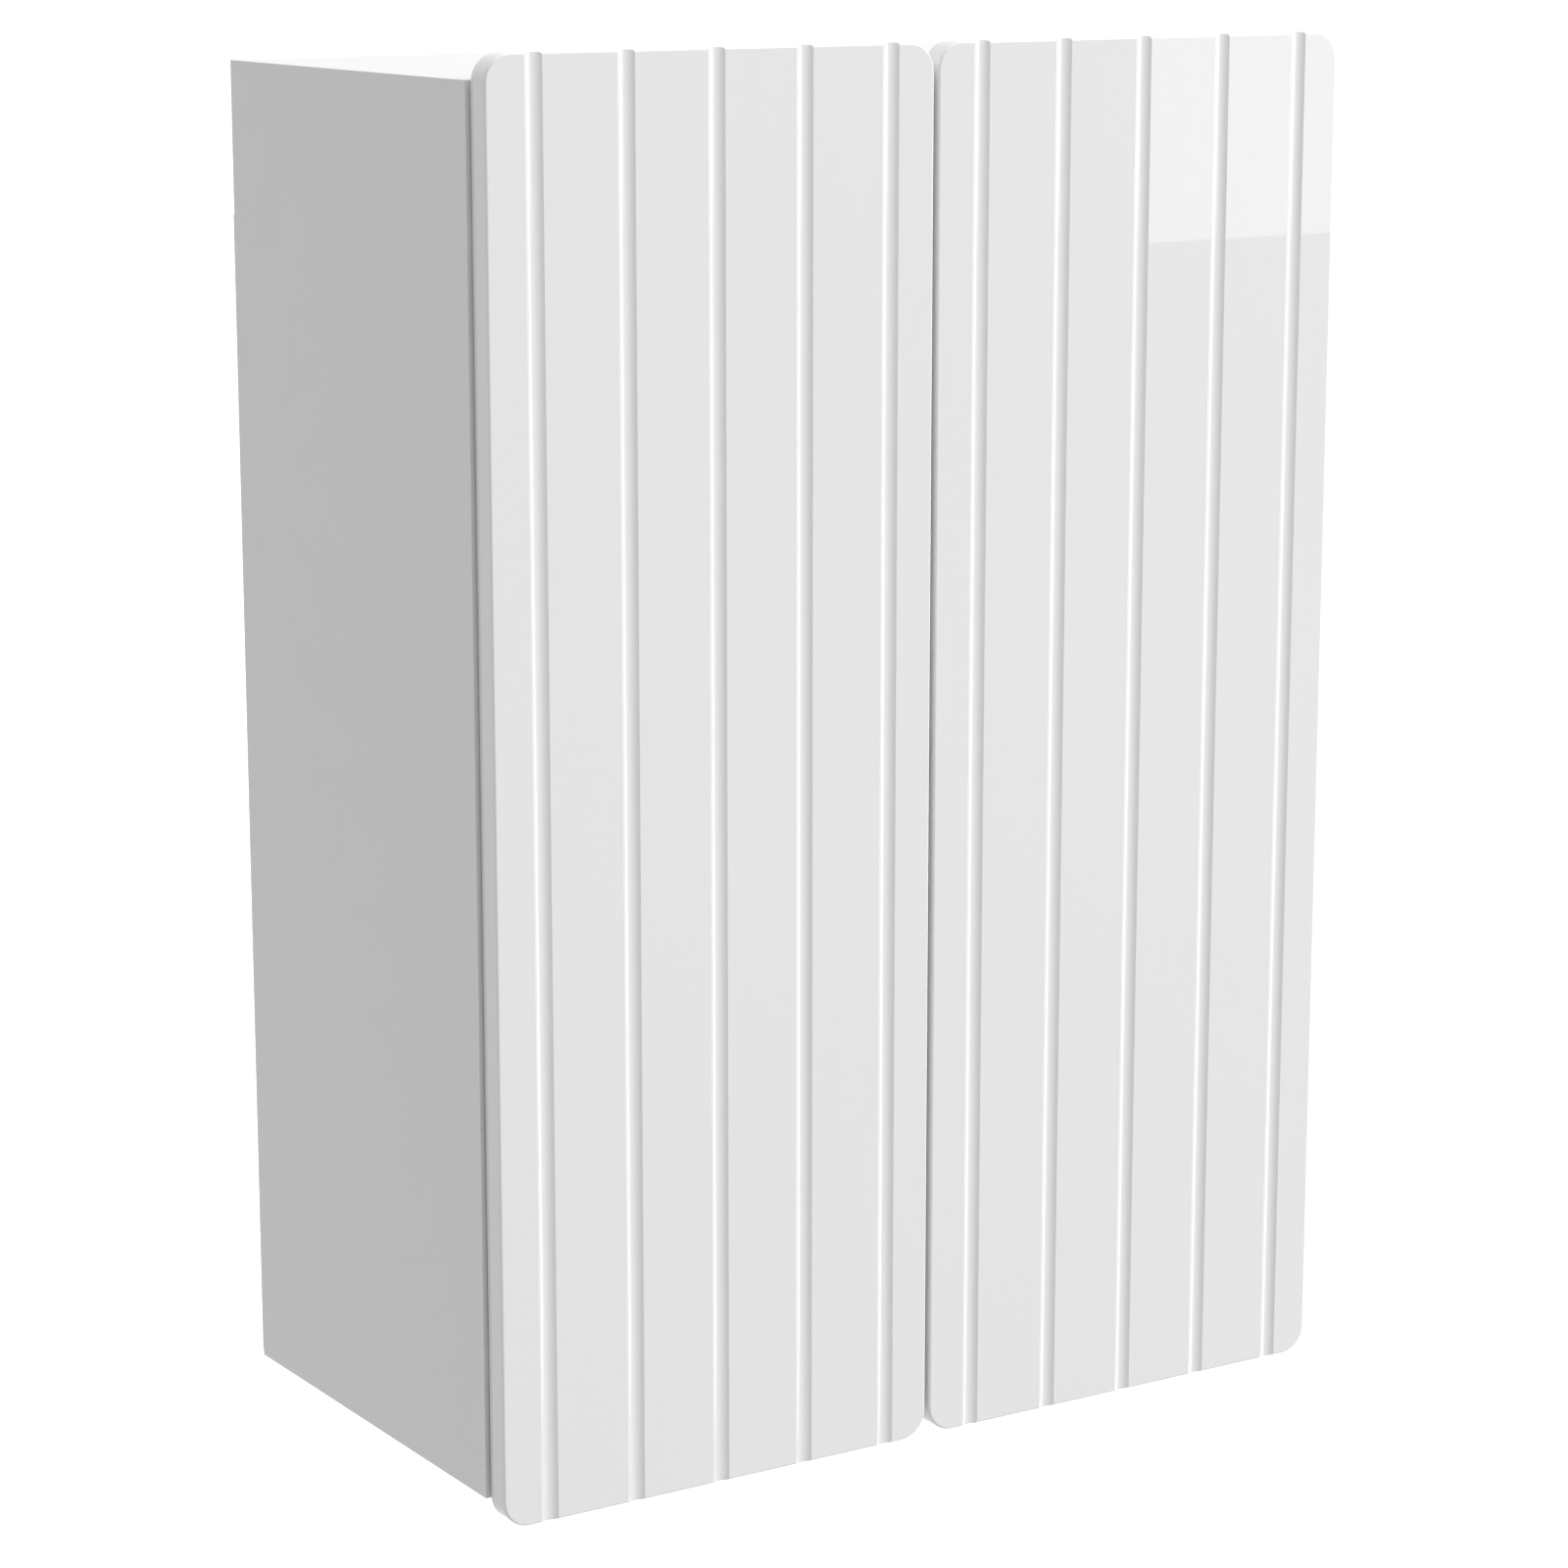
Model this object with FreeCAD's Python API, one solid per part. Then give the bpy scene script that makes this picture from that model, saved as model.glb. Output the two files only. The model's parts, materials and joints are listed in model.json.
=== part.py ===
"""White handleless wall cabinet with two grooved doors, two shelves and concealed hinges.

Millimetres. X runs to the right, Y towards the wall and Z up. The origin is the middle of the
rear face, in the plane of the wall, so the cabinet fills negative Y and its doors face -Y.
"""
import FreeCAD
import Part

import os

V = FreeCAD.Vector

# ---- driving dimensions -------------------------------------------------------------------
CARCASS_WIDTH = 600.0
CARCASS_HEIGHT = 820.0
CARCASS_DEPTH = 300.0        # from the wall to the carcass's front edge
PANEL = 16.0                 # melamine board
BAND = 0.8                   # edge banding on the front edges
BACK = 3.0                   # hardboard back, nailed on from behind
BACK_INSET = 1.0             # the back stops this far inside the side panels' outer faces
BACK_TOP_DROP = 93.0         # the back's top edge below the carcass's top
BACK_BOTTOM_LIFT = 2.5       # the back's bottom edge above the carcass's underside
RAIL_HEIGHT = 110.0          # hanging rail behind the back's top edge

DOOR_WIDTH = 296.0
DOOR_HEIGHT = 850.0
DOOR_THICKNESS = 16.0
DOOR_GAP = 3.0               # between the two doors
DOOR_STANDOFF = 2.0          # from the carcass's front edge to the doors' backs
DOOR_CORNER = 17.0           # radius of the doors' corners
DOOR_ROUND = 1.5             # small round along the front edges
GROOVE_COUNT = 5
GROOVE_WIDTH = 11.3          # at the door's face
GROOVE_DEPTH = 2.2           # at the middle of its round bottom
GROOVE_PITCH = 58.8

SHELF_LEVELS = (-145.0, 125.0)   # undersides of the two shelves
SHELF_DEPTH = 275.0
SHELF_SIDE_GAP = 0.5
SHELF_REAR_GAP = 1.0
HOLE_STEP = 32.0             # spacing of the shelf pin holes

HINGE_LEVELS = (-325.0, 325.0)   # heights of the hinges on each door
LINK_PIVOT = (10.0, 1.0)     # on the hinge arm: in from the side's inner face, forward of its edge
CUP_PIVOT = (-5.8, 6.4)      # in the hinge cup, in the same two directions, door closed
CUP_CENTRE = 7.0             # in from the side panel's inner face
CUP_RADIUS = 17.5
CUP_DEPTH = 10.5

# ---- worked out ---------------------------------------------------------------------------
HALF_WIDTH = CARCASS_WIDTH / 2
HALF_HEIGHT = CARCASS_HEIGHT / 2
INNER_X = HALF_WIDTH - PANEL
INNER_Z = HALF_HEIGHT - PANEL
EDGE_Y = -CARCASS_DEPTH                  # front of the edge bands
BOARD_FRONT_Y = EDGE_Y + BAND            # front of the boards themselves
REAR_Y = -BACK                           # rear edges of the carcass boards
DOOR_BACK_Y = EDGE_Y - DOOR_STANDOFF
DOOR_FRONT_Y = DOOR_BACK_Y - DOOR_THICKNESS
MID_TOP_Z = HALF_HEIGHT - PANEL / 2      # middle of the top panel's thickness
RAIL_BOTTOM_Z = INNER_Z - RAIL_HEIGHT
RAIL_MID_Y = REAR_Y - PANEL / 2
BACK_TOP_Z = HALF_HEIGHT - BACK_TOP_DROP
BACK_BOTTOM_Z = -HALF_HEIGHT + BACK_BOTTOM_LIFT
GROOVE_RADIUS = (GROOVE_WIDTH ** 2 / 4 + GROOVE_DEPTH ** 2) / (2 * GROOVE_DEPTH)
LEFT, RIGHT = -1, 1


# ---- helpers ------------------------------------------------------------------------------
def box(x, y, z):
    """A block between the two values of each pair."""
    size = V(abs(x[1] - x[0]), abs(y[1] - y[0]), abs(z[1] - z[0]))
    return Part.makeBox(size.x, size.y, size.z, V(min(x), min(y), min(z)))


def rod(start, direction, radius, length):
    """A round bar from start along direction."""
    return Part.makeCylinder(radius, length, V(*start), V(*direction))


def fuse(shapes):
    """One solid from overlapping shapes, with no seams left between flush faces."""
    return shapes[0].fuse(list(shapes[1:])).removeSplitter()


def cut(shape, tools):
    return shape.cut(list(tools)) if tools else shape


def prism(outline, z_low, z_high):
    """An upright solid over a closed outline of (x, y) points."""
    points = [V(x, y, z_low) for x, y in outline]
    face = Part.Face(Part.makePolygon(points + points[:1]))
    return face.extrude(V(0, 0, z_high - z_low))


def write(name, shapes):
    """Writes one node: a single solid or a group of separate solids."""
    shapes = shapes if isinstance(shapes, list) else [shapes]
    solids = [solid for shape in shapes for solid in shape.Solids]
    whole = solids[0] if len(solids) == 1 else Part.makeCompound(solids)
    whole.exportStep("parts/" + name + ".step")


def named(side):
    return "left" if side == LEFT else "right"


def edges_along(shape, axis):
    """The straight edges of a shape that run along x, y or z."""
    return [e for e in shape.Edges if abs(getattr(e.tangentAt(e.FirstParameter), axis)) > 0.9]


# ---- fasteners ----------------------------------------------------------------------------
DOWEL_RADIUS, DOWEL_LENGTH, DOWEL_INTO_SIDE = 4.0, 30.0, 11.0
BOLT_RADIUS, BOLT_INTO_SIDE = 2.5, 11.0
BOLT_HEAD_RADIUS, BOLT_HEAD_LENGTH, BOLT_COLLAR = 3.3, 3.0, 1.5
CAM_RADIUS, CAM_DEPTH, CAM_REACH = 7.5, 12.5, 24.0
CAM_CLEARANCE = 0.1
CAM_CHANNEL = 3.7            # radius of the channel that takes the bolt's head
CHANNEL_PAST_CAM = 2.0       # how far the channel runs past the cam's middle
CAM_DRIVE = (4.5, 0.9, 2.5)  # half length, half width and depth of the cam's cross recess
CAP_RADIUS, CAP_THICKNESS, CAP_EDGE = 8.5, 1.0, 0.6
NAIL_RADIUS, NAIL_LENGTH = 0.9, 16.0
NAIL_HEAD_RADIUS, NAIL_HEAD_THICKNESS = 2.2, 0.7


def cross_recess(surface, outward, half_length, half_width, depth):
    """A cross-shaped recess for a driver, sunk into a surface that faces outward."""
    one = box((-half_length, half_length), (-half_width, half_width), (-depth, 0))
    two = box((-half_width, half_width), (-half_length, half_length), (-depth, 0))
    cross = one.fuse(two)
    cross.Placement = FreeCAD.Placement(surface, FreeCAD.Rotation(V(0, 0, 1), outward))
    return cross


def cam_joint(side, y, z, facing):
    """A cam fitting at the end of a panel: bolt, cam, cap and the bores they need.

    facing is the direction that the cam's driving face looks in, and y, z is the bolt's line.
    """
    inward = V(-side, 0, 0)
    face = V(*facing)
    end = V(side * INNER_X, y, z)
    centre = end + inward * CAM_REACH
    neck = CAM_REACH - BOLT_HEAD_LENGTH
    thread = rod(end - inward * BOLT_INTO_SIDE, inward, BOLT_RADIUS, BOLT_INTO_SIDE + neck)
    head = rod(end + inward * neck, inward, BOLT_HEAD_RADIUS, BOLT_HEAD_LENGTH)
    collar = rod(end, inward, BOLT_HEAD_RADIUS, BOLT_COLLAR)
    bolt = fuse([thread, head, collar])
    surface = centre + face * (PANEL / 2)
    bore = rod(surface, -face, CAM_RADIUS + CAM_CLEARANCE, CAM_DEPTH + CAM_CLEARANCE)
    channel = rod(end, inward, CAM_CHANNEL, CAM_REACH + CHANNEL_PAST_CAM)
    cam = cut(rod(surface, -face, CAM_RADIUS, CAM_DEPTH), [channel, cross_recess(surface, face, *CAM_DRIVE)])
    cap = rod(surface, face, CAP_RADIUS, CAP_THICKNESS)
    outer = surface + face * CAP_THICKNESS
    cap = cap.makeFillet(CAP_EDGE, [e for e in cap.Edges if (e.CenterOfMass - outer).Length < 0.01])
    side_bore = rod(end - inward * BOLT_INTO_SIDE, inward, BOLT_RADIUS, BOLT_INTO_SIDE)
    return {"bolt": bolt, "cam": cam, "cap": cap, "panel": [bore, channel], "side": [side_bore]}


def dowel(side, y, z):
    return rod((side * (INNER_X + DOWEL_INTO_SIDE), y, z), (-side, 0, 0), DOWEL_RADIUS, DOWEL_LENGTH)


def nail(x, z):
    """A flat-headed nail driven in from behind, its head flush with the back."""
    head = rod((x, 0, z), (0, -1, 0), NAIL_HEAD_RADIUS, NAIL_HEAD_THICKNESS)
    return fuse([head, rod((x, 0, z), (0, -1, 0), NAIL_RADIUS, NAIL_LENGTH)])


# ---- carcass ------------------------------------------------------------------------------
BOLT_Y = (-70.0, -245.0)
DOWEL_Y = (-38.0, -150.0, -277.0)
RAIL_DOWEL_INSET = 22.0
RAIL_DOWEL_Z = (RAIL_BOTTOM_Z + RAIL_DOWEL_INSET, INNER_Z - RAIL_DOWEL_INSET)
RAIL_CAM_Z = (RAIL_BOTTOM_Z + INNER_Z) / 2
PIN_Y = (-50.0, -243.0)
PIN_RADIUS = 2.5
PIN_HOLE_DEPTH = 11.0
PIN_SEAT = 2.0               # height of the pin's flat above its middle
PIN_COLLAR_RADIUS, PIN_PEG_RADIUS, PIN_PEG_LENGTH = 4.5, 3.5, 9.0
SCREW_RADIUS = 2.5           # screws that hold the hinge plates, in 5 mm bores
SCREW_DEPTH = 12.0
PLATE_SCREW_Q = -37.0        # set back from the carcass's front edge
PLATE_SCREW_Z = 16.0         # above and below the hinge's middle
NAILS_UP_SIDE = 7
NAIL_MARGIN = 30.0           # from the back panel's top and bottom edges
NAILS_ACROSS = (-210.0, -70.0, 70.0, 210.0)
RAIL_NAIL_LIFT = 12.0        # above the rail's lower edge


def carcass():
    """Side, top and bottom panels, the rear rail, and everything that joins them."""
    joints = {}
    for side in (LEFT, RIGHT):
        for y in BOLT_Y:
            joints[side, y, "top"] = cam_joint(side, y, MID_TOP_Z, (0, 0, -1))
            joints[side, y, "bottom"] = cam_joint(side, y, -MID_TOP_Z, (0, 0, 1))
        joints[side, 0, "rail"] = cam_joint(side, RAIL_MID_Y, RAIL_CAM_Z, (0, -1, 0))
    dowels = {}
    for side in (LEFT, RIGHT):
        for y in DOWEL_Y:
            dowels[side, y, "top"] = dowel(side, y, MID_TOP_Z)
            dowels[side, y, "bottom"] = dowel(side, y, -MID_TOP_Z)
        for z in RAIL_DOWEL_Z:
            dowels[side, z, "rail"] = dowel(side, RAIL_MID_Y, z)
    nails = back_nails()

    for side in (LEFT, RIGHT):
        panel = box((side * INNER_X, side * HALF_WIDTH), (BOARD_FRONT_Y, REAR_Y), (-HALF_HEIGHT, HALF_HEIGHT))
        tools = [tool for key, j in joints.items() if key[0] == side for tool in j["side"]]
        tools += [d for key, d in dowels.items() if key[0] == side]
        tools += shelf_pin_bores(side) + plate_screw_bores(side) + nails
        write("side_" + named(side), cut(panel, tools))
    for place, low, high in (("top", INNER_Z, HALF_HEIGHT), ("bottom", -HALF_HEIGHT, -INNER_Z)):
        panel = box((-INNER_X, INNER_X), (BOARD_FRONT_Y, REAR_Y), (low, high))
        tools = [tool for key, j in joints.items() if key[2] == place for tool in j["panel"]]
        tools += [d for key, d in dowels.items() if key[2] == place]
        write(place + "_panel", cut(panel, tools + nails))
    rail = box((-INNER_X, INNER_X), (REAR_Y - PANEL, REAR_Y), (RAIL_BOTTOM_Z, INNER_Z))
    tools = [tool for key, j in joints.items() if key[2] == "rail" for tool in j["panel"]]
    tools += [d for key, d in dowels.items() if key[2] == "rail"]
    write("hanging_rail", cut(rail, tools + nails + hanger_pockets()))

    back = box((BACK_INSET - HALF_WIDTH, HALF_WIDTH - BACK_INSET), (REAR_Y, 0), (BACK_BOTTOM_Z, BACK_TOP_Z))
    write("back_panel", cut(back, nails))
    write("back_nails", nails)
    write("cam_bolts", [j["bolt"] for j in joints.values()])
    write("cam_locks", [j["cam"] for j in joints.values()])
    write("cam_caps", [j["cap"] for j in joints.values()])
    write("dowels", list(dowels.values()))


def back_nails():
    """Nails round the hardboard: up both sides, along the bottom and along the rail."""
    side_x = HALF_WIDTH - PANEL / 2
    low, high = BACK_BOTTOM_Z + NAIL_MARGIN, BACK_TOP_Z - NAIL_MARGIN
    upright = [low + (high - low) * k / (NAILS_UP_SIDE - 1) for k in range(NAILS_UP_SIDE)]
    places = [(side * side_x, z) for side in (LEFT, RIGHT) for z in upright]
    places += [(x, z) for z in (-MID_TOP_Z, RAIL_BOTTOM_Z + RAIL_NAIL_LIFT) for x in NAILS_ACROSS]
    return [nail(x, z) for x, z in places]


def edge_bands():
    """Thin bands on the front edges of the carcass and of the shelves."""
    front = (EDGE_Y, BOARD_FRONT_Y)
    for side in (LEFT, RIGHT):
        write("edge_band_side_" + named(side),
              box((side * INNER_X, side * HALF_WIDTH), front, (-HALF_HEIGHT, HALF_HEIGHT)))
    write("edge_band_top", box((-INNER_X, INNER_X), front, (INNER_Z, HALF_HEIGHT)))
    write("edge_band_bottom", box((-INNER_X, INNER_X), front, (-HALF_HEIGHT, -INNER_Z)))


# ---- shelves ------------------------------------------------------------------------------
def shelf_pin_bores(side):
    """Rows of three holes for each shelf pin, so that a shelf can be moved up or down a step."""
    levels = [level - PIN_SEAT + step * HOLE_STEP for level in SHELF_LEVELS for step in (-1, 0, 1)]
    start = side * INNER_X
    return [rod((start, y, z), (side, 0, 0), PIN_RADIUS, PIN_HOLE_DEPTH) for y in PIN_Y for z in levels]


def shelf_pin(side, y, level):
    """A nickel pin: a stem in the side, a collar against it, and a peg with a flat for the shelf."""
    z = level - PIN_SEAT
    stem = rod((side * INNER_X, y, z), (side, 0, 0), PIN_RADIUS, PIN_HOLE_DEPTH - 1)
    collar = rod((side * INNER_X, y, z), (-side, 0, 0), PIN_COLLAR_RADIUS, SHELF_SIDE_GAP * 0.8)
    peg = rod((side * INNER_X, y, z), (-side, 0, 0), PIN_PEG_RADIUS, PIN_PEG_LENGTH)
    reach = 2 * PIN_COLLAR_RADIUS
    above = box((side * (INNER_X - reach), side * INNER_X), (y - reach, y + reach), (level, level + reach))
    return fuse([stem, cut(fuse([collar, peg]), [above])])


def shelves():
    pins = []
    half = INNER_X - SHELF_SIDE_GAP
    rear = REAR_Y - SHELF_REAR_GAP
    front = rear - SHELF_DEPTH
    for name, level in zip(("lower", "upper"), SHELF_LEVELS):
        board = box((-half, half), (front + BAND, rear), (level, level + PANEL))
        write("shelf_" + name, board)
        write("edge_band_shelf_" + name, box((-half, half), (front, front + BAND), (level, level + PANEL)))
        pins += [shelf_pin(side, y, level) for side in (LEFT, RIGHT) for y in PIN_Y]
    write("shelf_pins", pins)


# ---- wall hangers -------------------------------------------------------------------------
HANGER_X = 235.0
HANGER_Z = 356.0             # middle of the keyhole's round end
HANGER_WIDTH, HANGER_HEIGHT, HANGER_THICKNESS, HANGER_CORNER = 36.0, 66.0, 2.0, 6.0
HANGER_LIFT = 3.0            # from the round end to the plate's middle
KEYHOLE_RADIUS, KEYHOLE_RISE = 5.5, 13.0
KEYHOLE_SLOT = 3.0           # half the slot's width
POCKET_DEPTH, POCKET_MARGIN = 12.0, 3.0
HANGER_SCREW_OFFSET = 25.0
HANGER_SCREW_RADIUS, HANGER_SCREW_LENGTH = 1.8, 14.0
HANGER_SCREW_HEAD_RADIUS, HANGER_SCREW_HEAD_DEPTH = 3.5, 1.7


def keyhole(x, y_from, y_to, grow):
    """The keyhole's shape through a thickness, grown on all sides for the pocket behind it."""
    depth = y_from - y_to
    entry = rod((x, y_from, HANGER_Z), (0, -1, 0), KEYHOLE_RADIUS + grow, depth)
    slot_half = KEYHOLE_SLOT + grow
    top = HANGER_Z + KEYHOLE_RISE
    slot = box((x - slot_half, x + slot_half), (y_to, y_from), (HANGER_Z, top))
    end = rod((x, y_from, top), (0, -1, 0), slot_half, depth)
    return fuse([entry, slot, end])


def hanger_pockets():
    """Room in the rail for a wall screw's head behind each keyhole."""
    deep = REAR_Y - POCKET_DEPTH
    pockets = [keyhole(side * HANGER_X, REAR_Y, deep, POCKET_MARGIN) for side in (LEFT, RIGHT)]
    return pockets + hanger_screws()


def hanger_screws():
    screws = []
    for side in (LEFT, RIGHT):
        for offset in (-HANGER_SCREW_OFFSET, HANGER_SCREW_OFFSET):
            place = (side * HANGER_X, REAR_Y + HANGER_THICKNESS, HANGER_Z + HANGER_LIFT + offset)
            head = Part.makeCone(HANGER_SCREW_HEAD_RADIUS, HANGER_SCREW_RADIUS, HANGER_SCREW_HEAD_DEPTH,
                                 V(*place), V(0, -1, 0))
            screws.append(fuse([head, rod(place, (0, -1, 0), HANGER_SCREW_RADIUS, HANGER_SCREW_LENGTH)]))
    return screws


def hangers():
    """Two steel keyhole plates on the rail's rear face, in the step above the back panel."""
    screws = hanger_screws()
    for side in (LEFT, RIGHT):
        x = side * HANGER_X
        low = HANGER_Z + HANGER_LIFT - HANGER_HEIGHT / 2
        plate = box((x - HANGER_WIDTH / 2, x + HANGER_WIDTH / 2), (REAR_Y, REAR_Y + HANGER_THICKNESS),
                    (low, low + HANGER_HEIGHT))
        plate = plate.makeFillet(HANGER_CORNER, edges_along(plate, "y"))
        hole = keyhole(x, REAR_Y + HANGER_THICKNESS, REAR_Y, 0.0)
        write("hanger_plate_" + named(side), cut(plate, [hole] + screws))
    write("hanger_screws", screws)


# ---- doors --------------------------------------------------------------------------------
def door_outline_round(x_low, x_high, z_low, z_high, y_front):
    """A board with rounded corners whose front edges are slightly rounded."""
    board = box((x_low, x_high), (y_front, y_front + DOOR_THICKNESS), (z_low, z_high))
    board = board.makeFillet(DOOR_CORNER, edges_along(board, "y"))
    front = [e for e in board.Edges if abs(e.CenterOfMass.y - y_front) < 0.01]
    return board.makeFillet(DOOR_ROUND, front)


def door(side):
    """One door: five round-bottomed grooves from edge to edge, and bores for its hinges."""
    low, high = sorted((side * DOOR_GAP / 2, side * (DOOR_GAP / 2 + DOOR_WIDTH)))
    half = DOOR_HEIGHT / 2
    board = door_outline_round(low, high, -half, half, DOOR_FRONT_Y)
    middle = (low + high) / 2
    axis_y = DOOR_FRONT_Y + GROOVE_DEPTH - GROOVE_RADIUS
    offsets = [(k - (GROOVE_COUNT - 1) / 2) * GROOVE_PITCH for k in range(GROOVE_COUNT)]
    tools = [rod((middle + o, axis_y, -half - 1), (0, 0, 1), GROOVE_RADIUS, DOOR_HEIGHT + 2) for o in offsets]
    for level in HINGE_LEVELS:
        mouth = hinge_point(side, CUP_CENTRE, DOOR_STANDOFF, level)
        tools.append(rod(mouth, (0, -1, 0), CUP_RADIUS, CUP_DEPTH))
        tools += cup_screws(side, level)
    write("door_" + named(side), cut(board, tools))


BUMPER_RADIUS, BUMPER_THICKNESS, BUMPER_ROUND = 4.5, 1.6, 0.9
BUMPER_INSET = 12.0          # in from the door's edge at the middle of the cabinet


def bumpers(side):
    """Clear rubber pads on the door's back, where it meets the top and bottom panels' edges."""
    pads = []
    for z in (-MID_TOP_Z, MID_TOP_Z):
        place = (side * (DOOR_GAP / 2 + BUMPER_INSET), DOOR_BACK_Y, z)
        pad = rod(place, (0, 1, 0), BUMPER_RADIUS, BUMPER_THICKNESS)
        rim = [e for e in pad.Edges if abs(e.CenterOfMass.y - DOOR_BACK_Y - BUMPER_THICKNESS) < 0.01]
        pads.append(pad.makeFillet(BUMPER_ROUND, rim))
    write("bumpers_" + named(side), pads)


# ---- hinges -------------------------------------------------------------------------------
# Hinge shapes are laid out in the horizontal plane from the front inner corner of the side panel:
# p runs inwards, away from the side panel, and q runs forward, past the carcass's front edge.
CUP_WALL, CUP_FLOOR, FLANGE = 0.75, 0.85, 1.2
CUP_FIT = 0.05               # between the cup and its bore
FLANGE_RADIUS, WING_HALF_LENGTH, WING_P, WING_CORNER = 18.6, 29.0, (8.0, 18.0), 4.5
CUP_SCREW_P, CUP_SCREW_Z = 13.0, 24.0
PIVOT_RADIUS = 1.1
PIVOT_CLEARANCE = 0.06
ARM_PIN_PROUD = 0.3          # how far the riveted ends stand out of the arm's cheeks
CUP_PIN_SHORT = 0.3          # how far the cup's pin stops inside the bore
LINK_CHEEK = (4.2, 5.7)      # each cheek of the link, up and down from its middle
ARM_CHEEK = (6.1, 7.6)       # each cheek of the arm
LINK_EYE, LINK_HALF_BAND = 2.2, 1.4
LINK_BENDS = ((-1.9, 9.3), (4.2, 8.4))   # the link arches over the cup's rim as the door opens
ARM_EYE = 3.0
ARM_Q = (-58.0, -4.0)        # the arm's rear end and the front of its web
ARM_SKIN_P = (12.5, 14.0)    # the arm's outer web, over the mounting plate's rail
ARM_FOOT_P = 4.0             # the cheeks' lower edges, clear of the mounting plate
ARM_NECK_Q = (-10.0, -7.0)   # where the cheeks narrow towards the pin
ARM_NECK_P = 6.0
RAIL_Q, RAIL_HALF = (-56.0, -20.0), 5.8
PLATE_Q, PLATE_HALF, PLATE_THICKNESS, PLATE_CORNER = (-46.0, -28.0), 24.0, 2.2, 7.0
ARM_SCREW_Q = (-47.0, -27.0)

# Each screw: head radius and height, then shank radius and length below the head.
PLATE_SCREW = (4.2, 2.2, SCREW_RADIUS, SCREW_DEPTH + PLATE_THICKNESS)
CUP_SCREW = (3.3, 1.5, 1.75, FLANGE + 9.0)
ARM_SCREW = (3.6, 2.4, 2.0, 9.0)
SCREW_CROSS = (0.6, 0.45, 1.1)   # half length as a share of the head, half width, depth
SCREW_CROWN = 0.45           # rounding of a head's rim, as a share of its height


def hinge_xy(side, p, q):
    return side * (INNER_X - p), EDGE_Y - q


def hinge_point(side, p, q, z):
    x, y = hinge_xy(side, p, q)
    return x, y, z


def flat(side, outline, z_low, z_high):
    """An upright solid over an outline given in p and q."""
    return prism([hinge_xy(side, p, q) for p, q in outline], z_low, z_high)


def block(side, p, q, z):
    x0, y0 = hinge_xy(side, p[0], q[0])
    x1, y1 = hinge_xy(side, p[1], q[1])
    return box((x0, x1), (y0, y1), z)


def upright_pin(side, centre, radius, z_low, z_high):
    return rod(hinge_point(side, centre[0], centre[1], z_low), (0, 0, 1), radius, z_high - z_low)


def strap(side, start, end, half, z_low, z_high):
    """A bar with round ends between two points, seen along Z."""
    run = V(end[0] - start[0], end[1] - start[1], 0)
    off = V(-run.y, run.x, 0).normalize() * half
    corners = [(start[0] + off.x, start[1] + off.y), (end[0] + off.x, end[1] + off.y),
               (end[0] - off.x, end[1] - off.y), (start[0] - off.x, start[1] - off.y)]
    ends = [upright_pin(side, centre, half, z_low, z_high) for centre in (start, end)]
    return fuse([flat(side, corners, z_low, z_high)] + ends)


def screw(surface, outward, head_radius, head_height, radius, length):
    """A cross-head screw whose head rests on surface and whose shank runs the other way."""
    out = V(*outward)
    base = V(*surface)
    head = Part.makeCylinder(head_radius, head_height, base, out)
    rim = [e for e in head.Edges if (e.CenterOfMass - base - out * head_height).Length < 0.01
           and e.Curve.TypeId == "Part::GeomCircle"]
    head = head.makeFillet(head_height * SCREW_CROWN, rim)
    shank = Part.makeCylinder(radius, length, base, -out)
    share, half_width, depth = SCREW_CROSS
    recess = cross_recess(base + out * head_height, out, head_radius * share, half_width, depth)
    return cut(fuse([head, shank]), [recess])


def plate_screws(side, level):
    """The two screws of one mounting plate, in the side panel's 5 mm bores."""
    found = []
    for z in (level - PLATE_SCREW_Z, level + PLATE_SCREW_Z):
        place = hinge_point(side, PLATE_THICKNESS, PLATE_SCREW_Q, z)
        found.append(screw(place, (-side, 0, 0), *PLATE_SCREW))
    return found


def plate_screw_bores(side):
    bores = []
    for level in HINGE_LEVELS:
        for z in (level - PLATE_SCREW_Z, level + PLATE_SCREW_Z):
            place = hinge_point(side, 0, PLATE_SCREW_Q, z)
            bores.append(rod(place, (side, 0, 0), SCREW_RADIUS, SCREW_DEPTH))
    return bores


def cup_screws(side, level):
    """The two screws that hold a cup's flange to the door."""
    found = []
    for z in (level - CUP_SCREW_Z, level + CUP_SCREW_Z):
        place = hinge_point(side, CUP_SCREW_P, DOOR_STANDOFF - FLANGE, z)
        found.append(screw(place, (0, 1, 0), *CUP_SCREW))
    return found


def arm_screws(side, level):
    """The clamping screw and the side adjustment screw, through the arm's web into the rail."""
    found = []
    for q in ARM_SCREW_Q:
        place = hinge_point(side, ARM_SKIN_P[1], q, level)
        found.append(screw(place, (-side, 0, 0), *ARM_SCREW))
    return found


def mounting_plate(side, level):
    base = block(side, (0, PLATE_THICKNESS), PLATE_Q, (level - PLATE_HALF, level + PLATE_HALF))
    base = base.makeFillet(PLATE_CORNER, edges_along(base, "x"))
    rail = block(side, (0, ARM_SKIN_P[0]), RAIL_Q, (level - RAIL_HALF, level + RAIL_HALF))
    return cut(fuse([base, rail]), plate_screws(side, level) + arm_screws(side, level))


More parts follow.
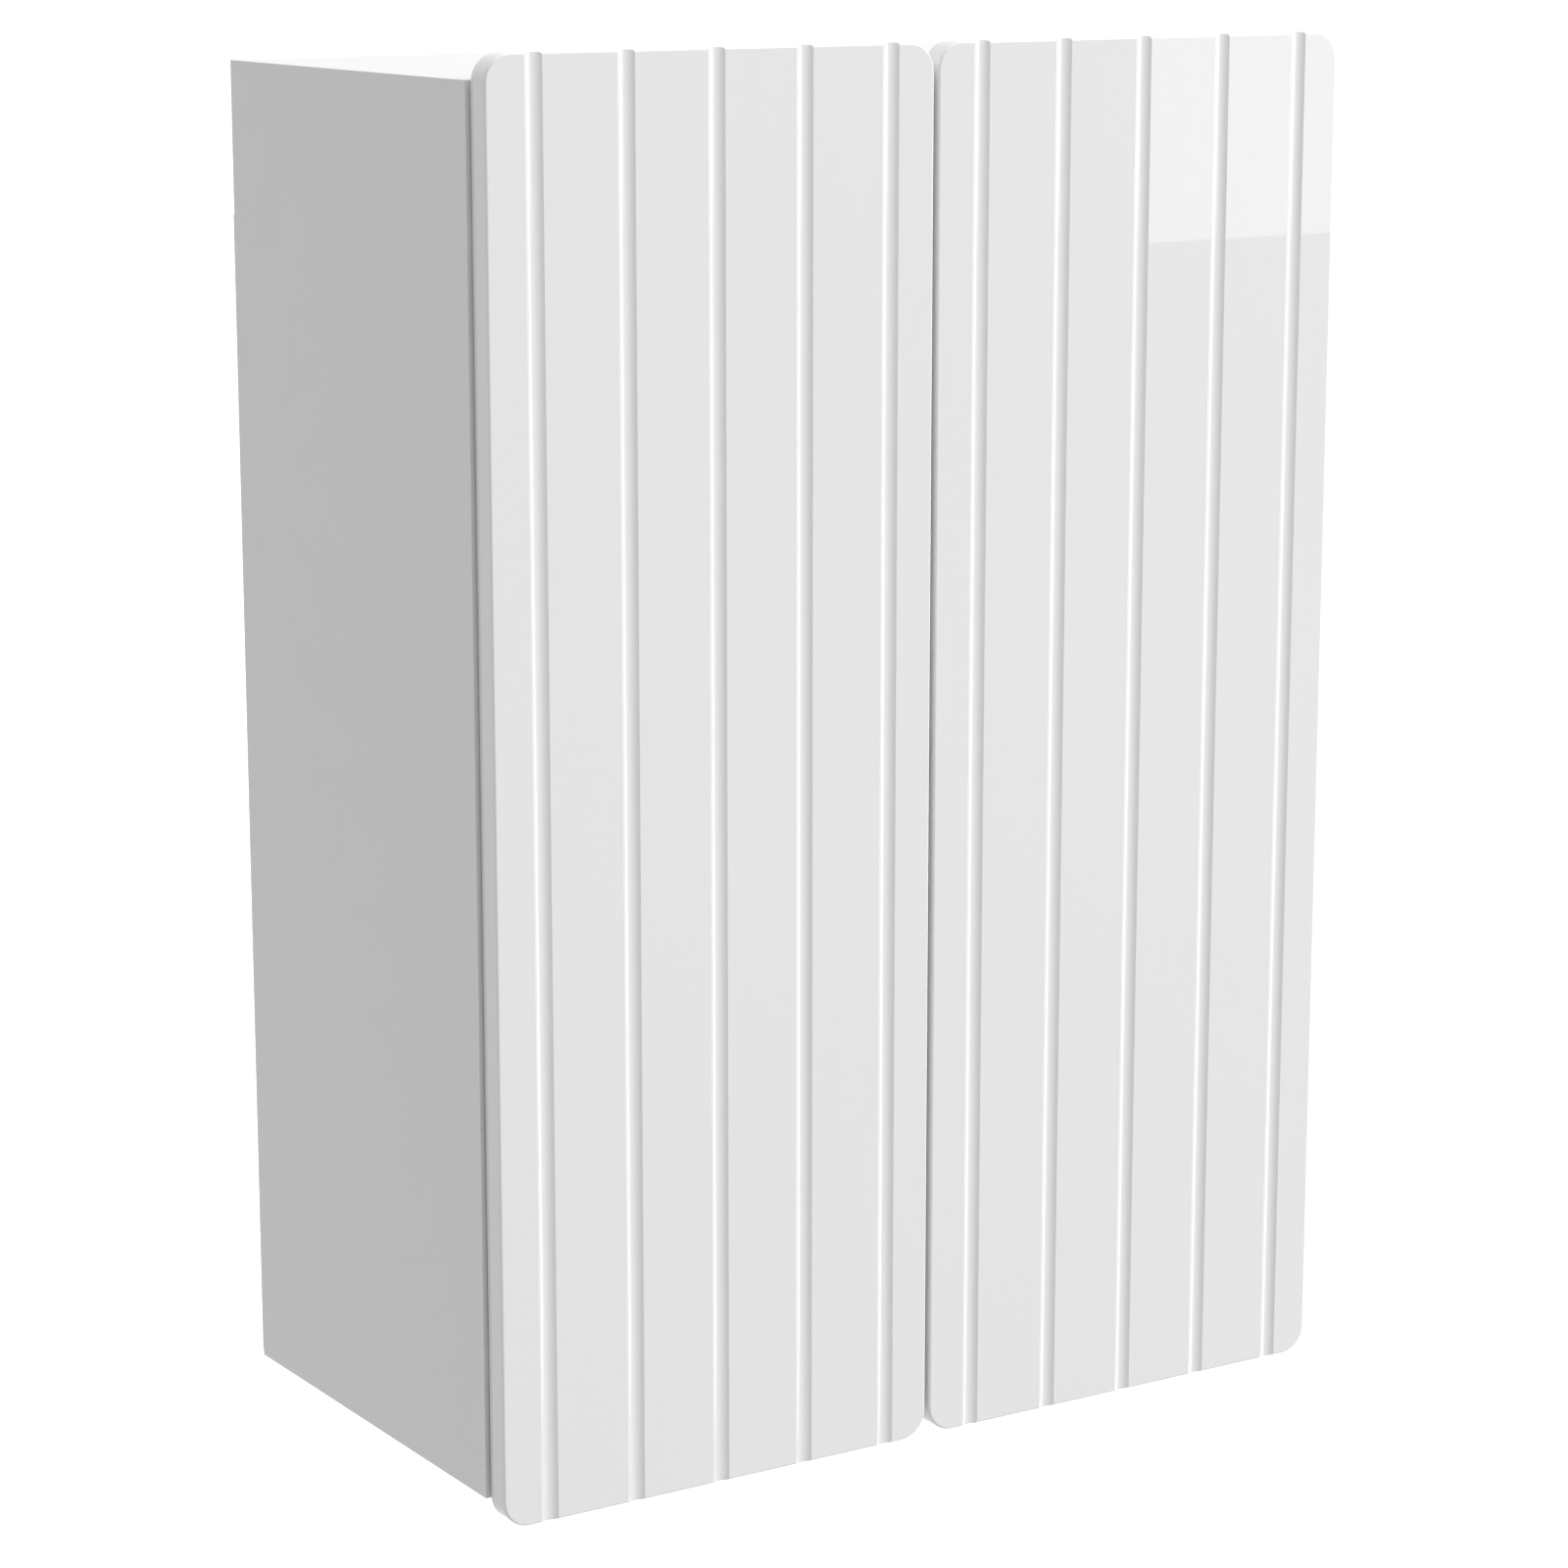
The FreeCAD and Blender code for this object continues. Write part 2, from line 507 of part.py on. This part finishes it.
def hinge_arm(side, level):
    """A channel over the mounting plate whose two cheeks carry the link's pin at the front."""
    web = block(side, ARM_SKIN_P, ARM_Q, (level - ARM_CHEEK[1], level + ARM_CHEEK[1]))
    pieces = [web]
    p, q = LINK_PIVOT
    outline = [(ARM_FOOT_P, ARM_Q[0]), (ARM_SKIN_P[1], ARM_Q[0]), (ARM_SKIN_P[1], ARM_Q[1]), (p + ARM_EYE, q),
               (p - ARM_EYE, q), (ARM_NECK_P, ARM_NECK_Q[1]), (ARM_FOOT_P, ARM_NECK_Q[0])]
    for low, high in ((ARM_CHEEK[0], ARM_CHEEK[1]), (-ARM_CHEEK[1], -ARM_CHEEK[0])):
        pieces.append(flat(side, outline, level + low, level + high))
        pieces.append(upright_pin(side, LINK_PIVOT, ARM_EYE, level + low, level + high))
    pin = arm_pin(side, level)
    return cut(fuse(pieces), arm_screws(side, level) + [pin])


def arm_pin(side, level):
    reach = ARM_CHEEK[1] + ARM_PIN_PROUD
    return upright_pin(side, LINK_PIVOT, PIVOT_RADIUS, level - reach, level + reach)


def cup_pin(side, level):
    """The pin across the cup, its ends let into the cup's wall and trimmed to its curve."""
    long_pin = upright_pin(side, CUP_PIVOT, PIVOT_RADIUS, level - CUP_RADIUS, level + CUP_RADIUS)
    middle = hinge_point(side, CUP_CENTRE, DOOR_STANDOFF, level)
    return long_pin.common(rod(middle, (0, -1, 0), CUP_RADIUS - CUP_PIN_SHORT, CUP_DEPTH))


def hinge_link(side, level):
    """Two arched cheeks joined by a bridge, turning on the arm's pin and on the cup's pin."""
    stations = (CUP_PIVOT,) + LINK_BENDS + (LINK_PIVOT,)
    pieces = []
    for low, high in ((LINK_CHEEK[0], LINK_CHEEK[1]), (-LINK_CHEEK[1], -LINK_CHEEK[0])):
        for start, end in zip(stations, stations[1:]):
            pieces.append(strap(side, start, end, LINK_HALF_BAND, level + low, level + high))
        for pivot in (CUP_PIVOT, LINK_PIVOT):
            pieces.append(upright_pin(side, pivot, LINK_EYE, level + low, level + high))
    pieces.append(strap(side, LINK_BENDS[0], LINK_BENDS[1], LINK_HALF_BAND,
                        level - LINK_CHEEK[1], level + LINK_CHEEK[1]))
    low, high = level - ARM_CHEEK[1], level + ARM_CHEEK[1]
    bore = PIVOT_RADIUS + PIVOT_CLEARANCE
    holes = [upright_pin(side, pivot, bore, low, high) for pivot in (CUP_PIVOT, LINK_PIVOT)]
    return cut(fuse(pieces), holes)


def hinge_cup(side, level):
    """A pressed cup in the door's bore, with a flange and two wings on the door's back."""
    back = DOOR_STANDOFF
    depth = CUP_DEPTH - CUP_FIT
    radius = CUP_RADIUS - CUP_FIT
    top = hinge_point(side, CUP_CENTRE, back - FLANGE, level)
    shell = rod(hinge_point(side, CUP_CENTRE, back, level), (0, -1, 0), radius, depth)
    rim = rod(top, (0, -1, 0), FLANGE_RADIUS, FLANGE)
    wings = block(side, WING_P, (back - FLANGE, back), (level - WING_HALF_LENGTH, level + WING_HALF_LENGTH))
    wings = wings.makeFillet(WING_CORNER, edges_along(wings, "y"))
    hollow = rod(top, (0, -1, 0), radius - CUP_WALL, FLANGE + depth - CUP_FLOOR)
    body = fuse([shell, rim, wings])
    return cut(body, [hollow, cup_pin(side, level)] + cup_screws(side, level))


def hinges():
    arm_pins, plate_fixings, arm_fixings = [], [], []
    for side in (LEFT, RIGHT):
        cup_pins, cup_fixings = [], []
        for place, level in zip(("lower", "upper"), HINGE_LEVELS):
            tag = named(side) + "_" + place
            write("hinge_plate_" + tag, mounting_plate(side, level))
            write("hinge_arm_" + tag, hinge_arm(side, level))
            write("hinge_link_" + tag, hinge_link(side, level))
            write("hinge_cup_" + tag, hinge_cup(side, level))
            arm_pins.append(arm_pin(side, level))
            cup_pins.append(cup_pin(side, level))
            plate_fixings += plate_screws(side, level)
            arm_fixings += arm_screws(side, level)
            cup_fixings += cup_screws(side, level)
        write("hinge_cup_pins_" + named(side), cup_pins)
        write("hinge_cup_screws_" + named(side), cup_fixings)
    write("hinge_arm_pins", arm_pins)
    write("hinge_plate_screws", plate_fixings)
    write("hinge_arm_screws", arm_fixings)


def main():
    os.makedirs("parts", exist_ok=True)
    carcass()
    edge_bands()
    shelves()
    hangers()
    for side in (LEFT, RIGHT):
        door(side)
        bumpers(side)
    hinges()


main()
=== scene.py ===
"""Looks for the white grooved wall cabinet: finishes for the CAD parts, a pale stage, soft light."""

import json
import math

import bpy
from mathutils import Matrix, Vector


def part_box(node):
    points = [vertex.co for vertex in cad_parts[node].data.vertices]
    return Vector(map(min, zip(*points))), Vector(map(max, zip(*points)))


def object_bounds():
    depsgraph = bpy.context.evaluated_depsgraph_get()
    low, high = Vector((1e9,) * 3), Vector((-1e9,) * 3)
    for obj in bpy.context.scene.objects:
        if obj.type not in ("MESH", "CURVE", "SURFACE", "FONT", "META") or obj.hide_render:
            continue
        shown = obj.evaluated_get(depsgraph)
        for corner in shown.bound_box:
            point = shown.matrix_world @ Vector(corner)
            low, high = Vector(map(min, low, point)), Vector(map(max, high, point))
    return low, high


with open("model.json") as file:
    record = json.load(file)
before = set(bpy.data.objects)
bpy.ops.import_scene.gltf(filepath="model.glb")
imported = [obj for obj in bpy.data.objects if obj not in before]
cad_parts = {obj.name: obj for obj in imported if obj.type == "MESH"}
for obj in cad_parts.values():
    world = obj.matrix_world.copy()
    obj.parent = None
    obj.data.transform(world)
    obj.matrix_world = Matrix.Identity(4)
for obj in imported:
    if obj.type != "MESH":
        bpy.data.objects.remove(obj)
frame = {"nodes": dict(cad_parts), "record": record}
CAD_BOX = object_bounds()

# ---- the camera, in metres and degrees ----------------------------------------------------
CAMERA_PLACE = (-1.436, -2.414, 0.525)
CAMERA_TURN = 32.418         # to the right of straight ahead
CAMERA_DIP = 11.975          # below the horizon
CAMERA_LENS = 99.5           # mm
SENSOR_WIDTH = 36.0          # mm

# ---- light: places and sizes in metres, and a glow of 1 is white ---------------------------
TO_THE_REAR = (0, 1, 0)
TO_THE_LEFT = (-1, 0, 0)
DOWNWARD = (0, 0, -1)
WHITE = (1.0, 1.0, 1.0, 1.0)

FLOOR_DROP = 1.25            # from the cabinet's underside to the floor
FLOOR_SPAN = 400.0
FLOOR_GLOW = 0.99            # its own light, which makes it as white as the surroundings
FLOOR_GREYS = ((0.19, 0.19, 0.19), (0.21, 0.21, 0.21))
FLOOR_ROUGHNESS = 0.9

SKY_LEVEL = 0.57             # middle brightness of the surroundings, as matt surfaces see them
SKY_LEAN = (0.06, 0.0, 0.0)  # how much brighter they get to the right, behind and above

# The softbox whose lower left corner the right door mirrors.
WINDOW_CORNER = (1.811, -2.5, 0.070)
WINDOW_SIZE = (4.0, 3.4)
WINDOW_GLOW = 2.0
# The panel on the right that whitens the left flanks of the grooves.
EDGE_PLACE = (2.2, -1.15, -0.35)
EDGE_SIZE = (1.35, 1.9)
EDGE_GLOW = 2.5
# The main light, high on the front right.
KEY_PLACE = (7.7, -7.1, 5.0)
KEY_SIZE = (5.0, 5.0)
KEY_GLOW = 10.1
# The weaker light above.
OVERHEAD_PLACE = (0.5, 0.4, 4.4)
OVERHEAD_SIZE = (4.8, 4.8)
OVERHEAD_GLOW = 1.4

# ---- finishes: linear colours, and lengths in metres ---------------------------------------
DOOR_WHITE = (0.822, 0.830, 0.825)
BOARD_WHITE = (0.75, 0.752, 0.75)
HARDBOARD_BROWN = (0.30, 0.185, 0.095)
HARDBOARD_DARK = (0.17, 0.095, 0.045)
BEECH_DARK, BEECH_LIGHT = (0.50, 0.31, 0.16), (0.66, 0.46, 0.27)
BEECH_FLECK = (0.36, 0.20, 0.10)
PAD_DULL, PAD_CLEAR = (0.80, 0.82, 0.83), (0.90, 0.91, 0.92)
CAP_DULL, CAP_WHITE = (0.74, 0.74, 0.735), (0.79, 0.79, 0.785)
ZINC_DULL, ZINC_BRIGHT = (0.52, 0.53, 0.55), (0.66, 0.67, 0.69)
NICKEL_DULL, NICKEL_BRIGHT = (0.68, 0.67, 0.64), (0.78, 0.77, 0.74)

BUMP_DEPTH = 0.0004          # how deep a bump of strength 1 is
# The hardboard is bare at its rear face and turns to lacquer between these depths in front of it.
BARE_TO = 0.0001
LACQUER_FROM = 0.0004

SOFTENED_EDGE = {"carcass_board": 0.00035, "edge_band": 0.00018, "back_board": 0.00015}
SOFTENED_STEPS = 2
SHARP_ANGLE = 60             # degrees; an edge that turns by less is left as it is


# ---- node helpers -------------------------------------------------------------------------
class Finish:
    """A material under construction, with short calls for the nodes that it uses.

    A noise's scale is in waves per metre, and a stretched noise has one scale for each axis.
    """

    def __init__(self, name):
        self.material = bpy.data.materials.new(name)
        self.material.use_nodes = True
        self.tree = self.material.node_tree
        self.shader = next(n for n in self.tree.nodes if n.type == "BSDF_PRINCIPLED")
        self.place = self.add("ShaderNodeTexCoord").outputs["Object"]

    def add(self, kind, **settings):
        node = self.tree.nodes.new(kind)
        for key, value in settings.items():
            setattr(node, key, value)
        return node

    def join(self, source, socket):
        self.tree.links.new(source, socket)

    def set(self, **values):
        """Sets the shader's own sockets; underscores in a name stand for spaces."""
        for key, value in values.items():
            self.shader.inputs[key.replace("_", " ")].default_value = value

    def noise(self, scale, detail=3.0, roughness=0.5, distortion=0.0, where=None):
        node = self.add("ShaderNodeTexNoise")
        node.inputs["Scale"].default_value = scale
        node.inputs["Detail"].default_value = detail
        node.inputs["Roughness"].default_value = roughness
        node.inputs["Distortion"].default_value = distortion
        self.join(where or self.place, node.inputs["Vector"])
        return node.outputs["Fac"]

    def stretched_noise(self, scales, **settings):
        """Noise in streaks: scales are its scales along X, Y and Z."""
        mapping = self.add("ShaderNodeMapping")
        mapping.inputs["Scale"].default_value = scales
        self.join(self.place, mapping.inputs["Vector"])
        return self.noise(1.0, where=mapping.outputs["Vector"], **settings)

    def span(self, source, low=0, high=1, from_low=0.3, from_high=0.7):
        """Maps a source, by default a noise's usual range, to low and high."""
        node = self.add("ShaderNodeMapRange")
        node.inputs["From Min"].default_value = from_low
        node.inputs["From Max"].default_value = from_high
        node.inputs["To Min"].default_value = low
        node.inputs["To Max"].default_value = high
        self.join(source, node.inputs["Value"])
        return node.outputs["Result"]

    def blend(self, factor, first, second):
        """Mixes two colours, each a tuple or another node's output."""
        node = self.add("ShaderNodeMix", data_type="RGBA")
        self.join(factor, node.inputs["Factor"])
        colours = [s for s in node.inputs if s.type == "RGBA"]
        for socket, value in zip(colours, (first, second)):
            if isinstance(value, tuple):
                socket.default_value = (*value, 1.0)
            else:
                self.join(value, socket)
        return next(s for s in node.outputs if s.type == "RGBA")

    def colour(self, source):
        self.join(source, self.shader.inputs["Base Color"])

    def mottle(self, source, first, second):
        """Colours the surface from first to second over a noise's usual range."""
        self.colour(self.blend(self.span(source), first, second))

    def roughness(self, source):
        self.join(source, self.shader.inputs["Roughness"])

    def bump(self, source, strength, below=None):
        node = self.add("ShaderNodeBump")
        node.inputs["Strength"].default_value = strength
        node.inputs["Distance"].default_value = BUMP_DEPTH
        self.join(source, node.inputs["Height"])
        if below:
            self.join(below, node.inputs["Normal"])
        self.join(node.outputs["Normal"], self.shader.inputs["Normal"])
        return node.outputs["Normal"]


def shade(colour, factor):
    """The colour made darker, or lighter where factor is over 1."""
    return tuple(channel * factor for channel in colour)


# ---- the materials ------------------------------------------------------------------------
def door_gloss():
    """Gloss white paint over board: faint orange peel, slight variation in sheen and tone."""
    f = Finish("door_gloss")
    f.set(IOR=1.5)
    f.mottle(f.noise(scale=3.5, detail=2), shade(DOOR_WHITE, 0.993), DOOR_WHITE)
    f.roughness(f.span(f.noise(scale=18, detail=4), low=0.010, high=0.018))
    f.bump(f.noise(scale=260, detail=2, roughness=0.45), strength=0.002)
    return f.material


def melamine():
    """Satin melamine: a fine pearl grain pressed into the surface."""
    f = Finish("carcass_board")
    f.set(IOR=1.45)
    f.mottle(f.noise(scale=5, detail=2), shade(BOARD_WHITE, 0.99), BOARD_WHITE)
    f.roughness(f.span(f.noise(scale=30, detail=4), low=0.30, high=0.38))
    fine = f.bump(f.noise(scale=2600, detail=2), strength=0.10)
    f.bump(f.noise(scale=520, detail=2), strength=0.05, below=fine)
    return f.material


def edge_band():
    """ABS edging: the boards' white, slightly smoother, with faint lines from the trimmer."""
    f = Finish("edge_band")
    f.set(IOR=1.5)
    f.mottle(f.noise(scale=9, detail=2), shade(BOARD_WHITE, 0.985), BOARD_WHITE)
    f.roughness(f.span(f.noise(scale=40), low=0.26, high=0.34))
    f.bump(f.stretched_noise((90, 90, 900), detail=2), strength=0.05)
    return f.material


def hardboard(rear_y):
    """Hardboard: brown pressed fibres behind, with white lacquer on its front and its edges."""
    f = Finish("back_board")
    f.set(IOR=1.45)
    fibres = f.stretched_noise((420, 420, 150), detail=6, roughness=0.65, distortion=0.6)
    clouds = f.noise(scale=11, detail=5, roughness=0.6)
    brown = f.blend(f.span(fibres), HARDBOARD_DARK, HARDBOARD_BROWN)
    brown = f.blend(f.span(clouds, high=0.45), brown, shade(HARDBOARD_BROWN, 1.25))
    white = f.blend(f.span(f.noise(scale=6)), shade(BOARD_WHITE, 0.97), BOARD_WHITE)
    split = f.add("ShaderNodeSeparateXYZ")
    f.join(f.place, split.inputs["Vector"])
    lacquer = f.span(
        split.outputs["Y"], low=1, high=0,
        from_low=rear_y - LACQUER_FROM, from_high=rear_y - BARE_TO,
    )
    f.colour(f.blend(lacquer, brown, white))
    f.roughness(f.span(lacquer, low=0.62, high=0.38, from_low=0, from_high=1))
    f.bump(fibres, strength=0.12)
    return f.material


def beech():
    """Beech: long straight grain with short darker flecks."""
    f = Finish("beech")
    f.set(IOR=1.45)
    grain = f.stretched_noise((25, 700, 700), detail=5, distortion=0.3)
    flecks = f.stretched_noise((220, 1900, 1900), detail=2)
    wood = f.blend(f.span(grain), BEECH_DARK, BEECH_LIGHT)
    f.colour(f.blend(f.span(flecks, high=0.5, from_low=0.55, from_high=0.75), wood, BEECH_FLECK))
    f.roughness(f.span(grain, low=0.5, high=0.62))
    f.bump(grain, strength=0.15)
    return f.material


def clear_rubber():
    """Soft clear plastic pads, slightly cloudy."""
    f = Finish("clear_rubber")
    f.set(IOR=1.45, Transmission_Weight=0.55)
    f.mottle(f.noise(scale=300, detail=2), PAD_DULL, PAD_CLEAR)
    f.roughness(f.span(f.noise(scale=900, detail=2), low=0.22, high=0.34))
    f.bump(f.noise(scale=1500, detail=2), strength=0.06)
    return f.material


def cap_plastic():
    """Moulded white caps with a fine spark-eroded texture."""
    f = Finish("cap_plastic")
    f.set(IOR=1.46)
    f.mottle(f.noise(scale=60), CAP_DULL, CAP_WHITE)
    f.roughness(f.span(f.noise(scale=700, detail=2), low=0.38, high=0.5))
    f.bump(f.noise(scale=3800, detail=2), strength=0.16)
    return f.material


def metal(name, dull, bright, rough, scratch_scales):
    """Plated steel or zinc: a cloudy tone, and fine scratches that run one way."""
    f = Finish(name)
    f.set(Metallic=1.0, IOR=1.5)
    f.mottle(f.noise(scale=140, detail=4, roughness=0.6), dull, bright)
    scratches = f.stretched_noise(scratch_scales)
    f.roughness(f.span(scratches, low=rough * 0.8, high=rough * 1.25))
    f.bump(scratches, strength=0.08)
    return f.material


def finishes():
    """Makes every finish, by the record's material slots."""
    back_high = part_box("back_panel")[1]
    return {
        "door_gloss": door_gloss(),
        "carcass_board": melamine(),
        "edge_band": edge_band(),
        "back_board": hardboard(back_high.y),
        "beech": beech(),
        "clear_rubber": clear_rubber(),
        "cap_plastic": cap_plastic(),
        "zinc": metal(
            "zinc", ZINC_DULL, ZINC_BRIGHT, rough=0.34, scratch_scales=(260, 260, 2400)
        ),
        "nickel": metal(
            "nickel", NICKEL_DULL, NICKEL_BRIGHT, rough=0.17, scratch_scales=(2200, 2200, 300)
        ),
    }


# ---- the CAD parts ------------------------------------------------------------------------
def dress(made):
    """Gives each CAD part its finish, and takes the knife edge off the boards."""
    for entry in frame["record"]["subparts"]:
        part = frame["nodes"][entry["node"]]
        slot = entry["material_slot"]
        part.data.materials.clear()
        part.data.materials.append(made[slot])
        if slot in SOFTENED_EDGE:
            bevel = part.modifiers.new("edge", "BEVEL")
            bevel.width = SOFTENED_EDGE[slot]
            bevel.segments = SOFTENED_STEPS
            bevel.limit_method = "ANGLE"
            bevel.angle_limit = math.radians(SHARP_ANGLE)
            bevel.harden_normals = True


# ---- stage, light, camera -----------------------------------------------------------------
def floor():
    """A pale floor below the cabinet, so wide that its far edge doesn't show."""
    low = CAD_BOX[0].z - FLOOR_DROP
    half = FLOOR_SPAN / 2
    corners = [(x, y, low) for x, y in ((-half, -half), (half, -half), (half, half), (-half, half))]
    mesh = bpy.data.meshes.new("floor")
    mesh.from_pydata(corners, [], [(0, 1, 2, 3)])
    plane = bpy.data.objects.new("floor", mesh)
    # Matt surfaces see the sky below them instead, so the floor's own light doesn't flood them.
    plane.visible_diffuse = False
    bpy.context.scene.collection.objects.link(plane)
    f = Finish("floor_pale")
    f.mottle(f.noise(scale=0.8), *FLOOR_GREYS)
    f.set(Roughness=FLOOR_ROUGHNESS, Emission_Color=WHITE, Emission_Strength=FLOOR_GLOW)
    mesh.materials.append(f.material)


def sky():
    """Soft surroundings, brighter to the right; plain white to the camera and in reflections."""
    world = bpy.data.worlds.new("studio")
    bpy.context.scene.world = world
    world.use_nodes = True
    tree = world.node_tree
    tree.nodes.clear()
    out = tree.nodes.new("ShaderNodeOutputWorld")
    ray = tree.nodes.new("ShaderNodeLightPath")
    place = tree.nodes.new("ShaderNodeTexCoord")
    lean = tree.nodes.new("ShaderNodeVectorMath")
    lean.operation = "DOT_PRODUCT"
    lean.inputs[1].default_value = SKY_LEAN
    level = tree.nodes.new("ShaderNodeMath")
    level.operation = "ADD"
    level.inputs[1].default_value = SKY_LEVEL
    lit = tree.nodes.new("ShaderNodeBackground")
    seen = tree.nodes.new("ShaderNodeBackground")
    sharp = tree.nodes.new("ShaderNodeMath")
    sharp.operation = "MAXIMUM"
    both = tree.nodes.new("ShaderNodeMixShader")
    for source, target in (
        (place.outputs["Generated"], lean.inputs[0]),
        (lean.outputs["Value"], level.inputs[0]),
        (level.outputs["Value"], lit.inputs["Strength"]),
        (ray.outputs["Is Camera Ray"], sharp.inputs[0]),
        (ray.outputs["Is Glossy Ray"], sharp.inputs[1]),
        (sharp.outputs["Value"], both.inputs["Fac"]),
        (lit.outputs["Background"], both.inputs[1]),
        (seen.outputs["Background"], both.inputs[2]),
        (both.outputs["Shader"], out.inputs["Surface"]),
    ):
        tree.links.new(source, target)
    for background in (lit, seen):
        background.inputs["Color"].default_value = WHITE


def softbox(name, centre, size, glow, aim, only_mirrored=False):
    """A rectangular light that faces along aim, seen in the lacquer but not by the camera.

    One that is only mirrored shows in reflections and doesn't light matt surfaces.
    """
    light = bpy.data.lights.new(name, "AREA")
    light.shape = "RECTANGLE"
    light.size, light.size_y = size
    light.energy = glow * math.pi * size[0] * size[1]
    lamp = bpy.data.objects.new(name, light)
    lamp.location = centre
    lamp.rotation_euler = Vector(aim).to_track_quat("-Z", "Y").to_euler()
    lamp.visible_camera = False
    lamp.visible_diffuse = not only_mirrored
    bpy.context.scene.collection.objects.link(lamp)


def lights():
    """Two lights on the cabinet, and two softboxes for its reflections."""
    to_middle = Vector((WINDOW_SIZE[0] / 2, 0, WINDOW_SIZE[1] / 2))
    window_place = Vector(WINDOW_CORNER) + to_middle
    softbox("window", window_place, WINDOW_SIZE, WINDOW_GLOW, TO_THE_REAR, only_mirrored=True)
    softbox("edge", EDGE_PLACE, EDGE_SIZE, EDGE_GLOW, TO_THE_LEFT, only_mirrored=True)
    softbox("key", KEY_PLACE, KEY_SIZE, KEY_GLOW, -Vector(KEY_PLACE))
    softbox("overhead", OVERHEAD_PLACE, OVERHEAD_SIZE, OVERHEAD_GLOW, DOWNWARD)


def camera():
    """The camera, at the front left and a little above, turned to the right and dipped."""
    data = bpy.data.cameras.new("camera")
    data.lens = CAMERA_LENS
    data.sensor_width = SENSOR_WIDTH
    cam = bpy.data.objects.new("camera", data)
    cam.location = CAMERA_PLACE
    cam.rotation_euler = (math.radians(90 - CAMERA_DIP), 0, math.radians(-CAMERA_TURN))
    bpy.context.scene.collection.objects.link(cam)
    bpy.context.scene.camera = cam


dress(finishes())
floor()
sky()
lights()
camera()
bpy.context.scene.view_settings.view_transform = "Standard"
